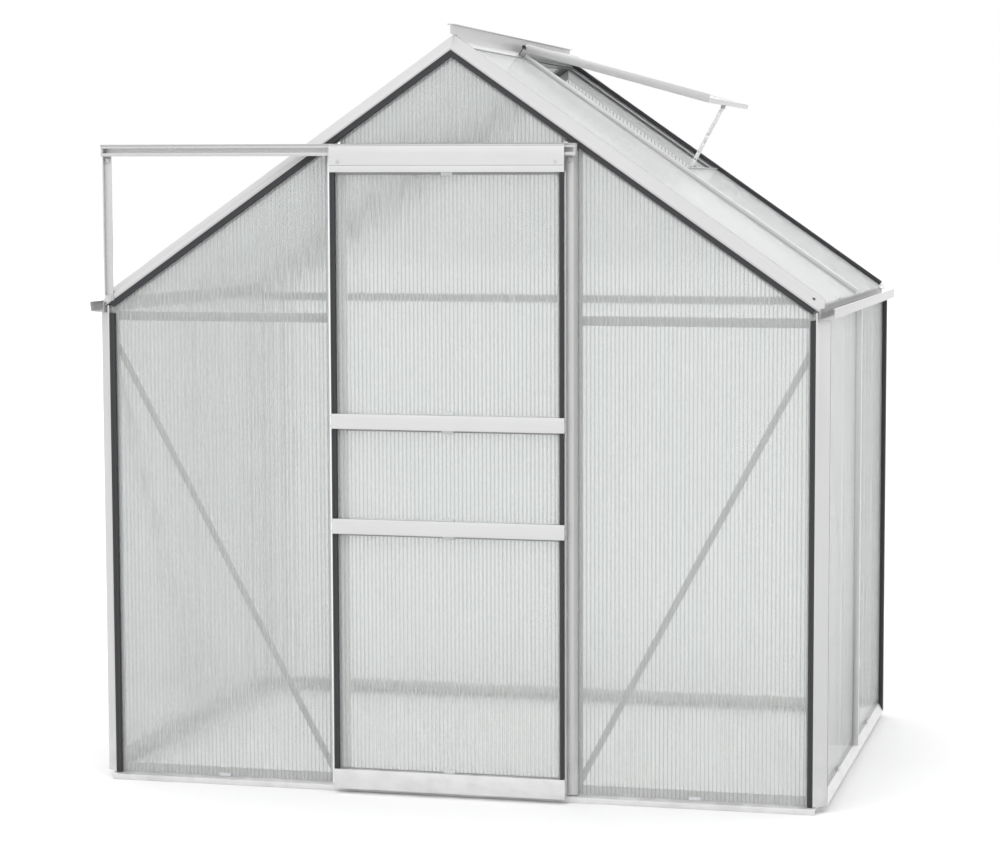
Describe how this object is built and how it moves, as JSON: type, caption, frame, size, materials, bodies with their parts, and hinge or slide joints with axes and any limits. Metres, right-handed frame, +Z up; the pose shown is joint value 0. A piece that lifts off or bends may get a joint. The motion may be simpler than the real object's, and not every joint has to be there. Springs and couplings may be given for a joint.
{
  "type": "greenhouse",
  "caption": "Small ridge-roofed greenhouse: silver bar frame glazed with clear ribbed twin-wall sheets, a sliding door on an overhead track and a propped roof vent.",
  "frame": {"origin": "on the ground, under the middle of the overall box", "axes": "+Z up, +X to the right seen from the door side, the door faces -Y"},
  "size_m": [1.932, 1.337, 1.948],
  "materials": {
    "silver_bar": "pale satin",
    "twin_wall_sheet": "clear ribbed sheet",
    "black_seal": "matt black",
    "nylon": "matt",
    "steel": "zinc plated"
  },
  "bodies": {
    "frame": {"door_header": "silver_bar", "door_posts": "silver_bar", "door_track": "silver_bar", "frame_bolts": "steel", "front_left_pane": "twin_wall_sheet", "front_left_post": "silver_bar", "front_left_rafter": "silver_bar", "front_right_pane": "twin_wall_sheet", "front_right_post": "silver_bar", "front_right_rafter": "silver_bar", "front_sill": "silver_bar", "front_ties": "silver_bar", "front_top_pane": "twin_wall_sheet", "glazing_clips": "steel", "glazing_seals": "black_seal", "left_gutter": "silver_bar", "left_roof_panes": "twin_wall_sheet", "left_side_panes": "twin_wall_sheet", "left_sill": "silver_bar", "rear_left_post": "silver_bar", "rear_left_rafter": "silver_bar", "rear_lower_pane": "twin_wall_sheet", "rear_right_post": "silver_bar", "rear_right_rafter": "silver_bar", "rear_sill": "silver_bar", "rear_tie": "silver_bar", "rear_upper_pane": "twin_wall_sheet", "ridge_bar": "silver_bar", "right_front_roof_pane": "twin_wall_sheet", "right_gutter": "silver_bar", "right_lower_roof_pane": "twin_wall_sheet", "right_side_panes": "twin_wall_sheet", "right_sill": "silver_bar", "roof_bars": "silver_bar", "side_bars": "silver_bar", "track_stay": "silver_bar", "track_stops": "nylon", "vent_sill": "silver_bar", "wall_braces": "silver_bar"},
    "door": {"door_axles": "steel", "door_clips": "steel", "door_guides": "nylon", "door_kick_plate": "silver_bar", "door_left_stile": "silver_bar", "door_lower_pane": "twin_wall_sheet", "door_lower_rail": "silver_bar", "door_middle_pane": "twin_wall_sheet", "door_right_stile": "silver_bar", "door_seals": "black_seal", "door_top_rail": "silver_bar", "door_upper_pane": "twin_wall_sheet", "door_upper_rail": "silver_bar"},
    "left_roller": {"left_wheel": "nylon"},
    "right_roller": {"right_wheel": "nylon"},
    "vent": {"vent_bottom_bar": "silver_bar", "vent_fittings": "steel", "vent_pane": "twin_wall_sheet", "vent_side_bars": "silver_bar", "vent_top_bar": "silver_bar"},
    "stay": {"vent_stay": "silver_bar"}
  },
  "joints": [
    {"name": "door_slide", "type": "slide", "parent": "frame", "child": "door", "axis": [-1, 0, 0], "range_m": [0, 0.58]},
    {"name": "left_wheel_spin", "type": "hinge", "parent": "door", "child": "left_roller", "pos_m": [-0.2545, -0.6455, 1.63639], "axis": [0, -1, 0], "continuous": true},
    {"name": "right_wheel_spin", "type": "hinge", "parent": "door", "child": "right_roller", "pos_m": [0.2435, -0.6455, 1.63639], "axis": [0, -1, 0], "continuous": true},
    {"name": "vent_hinge", "type": "hinge", "parent": "frame", "child": "vent", "pos_m": [0.02827, 0.3165, 1.92163], "axis": [0, -1, 0], "range_deg": [-19.4, 20]},
    {"name": "stay_pivot", "type": "hinge", "parent": "vent", "child": "stay", "pos_m": [0.52126, 0.3165, 1.7683], "axis": [0, -1, 0], "range_deg": [-20, 20]}
  ],
  "couplings": [
    {"joint": "left_wheel_spin", "follows": "door_slide", "rad_per_m": 83.333},
    {"joint": "right_wheel_spin", "follows": "door_slide", "rad_per_m": 83.333},
    {"joint": "stay_pivot", "follows": "vent_hinge", "ratio": -1}
  ]
}
